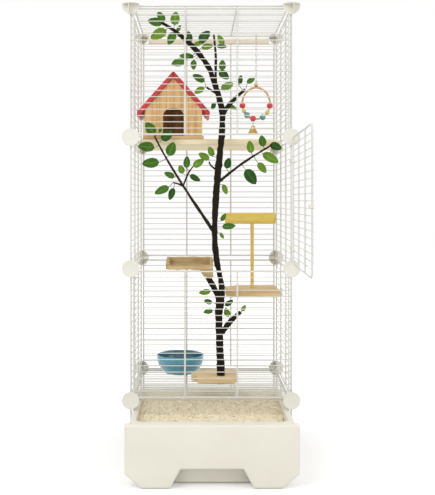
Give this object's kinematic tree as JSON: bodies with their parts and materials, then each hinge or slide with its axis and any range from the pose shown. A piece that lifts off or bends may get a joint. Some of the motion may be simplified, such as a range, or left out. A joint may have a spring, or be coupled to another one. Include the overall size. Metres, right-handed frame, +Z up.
{
  "type": "small animal cage",
  "caption": "Tall wire cage for small climbing animals, with a swing door, a pull-out bedding drawer, a shelf with a little house, a leafy branch, a perch, a bowl and a beaded hoop swing.",
  "frame": {"origin": "on the floor, at the middle of the overall box", "axes": "+Z up, -Y towards the front with the door and the drawer, +X to the right"},
  "size_m": [0.488, 0.9018, 1.2769],
  "materials": {
    "wire": "satin",
    "connector": "satin",
    "drawer": "satin",
    "bedding": "matt shavings",
    "pale_wood": "bare, planed",
    "house_wood": "bare, planed",
    "roof_paint": "painted",
    "bark": "rough bark",
    "leaf": "printed cloth",
    "yellow_wood": "stained",
    "steel": "zinc plated",
    "rattan": "wound cane",
    "red_bead": "lacquered",
    "teal_bead": "lacquered",
    "yellow_bead": "lacquered",
    "brass": "polished",
    "bowl_glaze": "glossy glaze"
  },
  "bodies": {
    "cage": {"front_panel_bottom": "wire", "front_panel_top": "wire", "back_panel_bottom": "wire", "back_panel_middle": "wire", "back_panel_top": "wire", "left_panel_bottom": "wire", "left_panel_middle": "wire", "left_panel_top": "wire", "right_panel_bottom": "wire", "right_panel_middle": "wire", "right_panel_top": "wire", "base_panel_back": "wire", "base_panel_left": "wire", "base_panel_right": "wire", "roof_panel": "wire", "floor_panel": "wire", "top_connectors": "connector", "upper_connectors": "connector", "lower_connectors": "connector", "base_connectors": "connector", "foot_caps": "connector", "door_hinge_clips": "connector", "rear_batten": "pale_wood", "shelf_board": "pale_wood", "corner_shelf": "pale_wood", "shelf_fixings": "steel", "corner_fixings": "steel", "branch_screw": "steel", "swing_hook": "steel", "house_base": "house_wood", "house_front_wall": "house_wood", "house_back_wall": "house_wood", "house_side_walls": "house_wood", "house_roof_left": "roof_paint", "house_roof_right": "roof_paint", "branch": "bark", "ledge_tray": "bark", "ledge_bracket": "bark", "branch_base": "pale_wood", "leaves_upper": "leaf", "leaves_middle": "leaf", "leaves_lower": "leaf", "perch_post": "yellow_wood", "perch_roll": "yellow_wood"},
    "door": {"door_panel": "wire"},
    "latch": {"door_latch": "connector"},
    "drawer": {"drawer_front": "drawer", "drawer_tray": "drawer", "bedding": "bedding"},
    "chain": {"swing_chain": "steel"},
    "hoop": {"swing_hoop": "rattan", "red_beads": "red_bead", "teal_beads": "teal_bead", "yellow_beads": "yellow_bead"},
    "bell": {"swing_bell": "brass"},
    "clapper": {"bell_clapper": "brass"},
    "bowl": {"bowl": "bowl_glaze"}
  },
  "joints": [
    {"name": "door_hinge", "type": "hinge", "parent": "cage", "child": "door", "pos_m": [0.224, -0.02127, 0.738], "axis": [0, 0, 1], "range_deg": [-89, 44]},
    {"name": "latch_turn", "type": "hinge", "parent": "door", "child": "latch", "pos_m": [0.21659, -0.44566, 0.7264], "axis": [0, 0, 1], "range_deg": [-219.3, 0]},
    {"name": "drawer_slide", "type": "slide", "parent": "cage", "child": "drawer", "axis": [0, -1, 0], "range_m": [-0.121, 0.15]},
    {"name": "chain_swing", "type": "hinge", "parent": "cage", "child": "chain", "pos_m": [0.15, 0.36611, 1.2527], "axis": [1, 0, 0], "range_deg": [-18, 3.5]},
    {"name": "hoop_swing", "type": "hinge", "parent": "chain", "child": "hoop", "pos_m": [0.15, 0.36611, 1.11905], "axis": [1, 0, 0], "range_deg": [-12, 3]},
    {"name": "bell_swing", "type": "hinge", "parent": "hoop", "child": "bell", "pos_m": [0.1401, 0.36611, 0.98181], "axis": [1, 0, 0], "range_deg": [-25, 25]},
    {"name": "clapper_swing", "type": "hinge", "parent": "bell", "child": "clapper", "pos_m": [0.1401, 0.36611, 0.97286], "axis": [1, 0, 0], "range_deg": [-16, 16]},
    {"name": "bowl_lift", "type": "slide", "parent": "cage", "child": "bowl", "axis": [0, 0, 1], "range_m": [0, 0.12]}
  ]
}
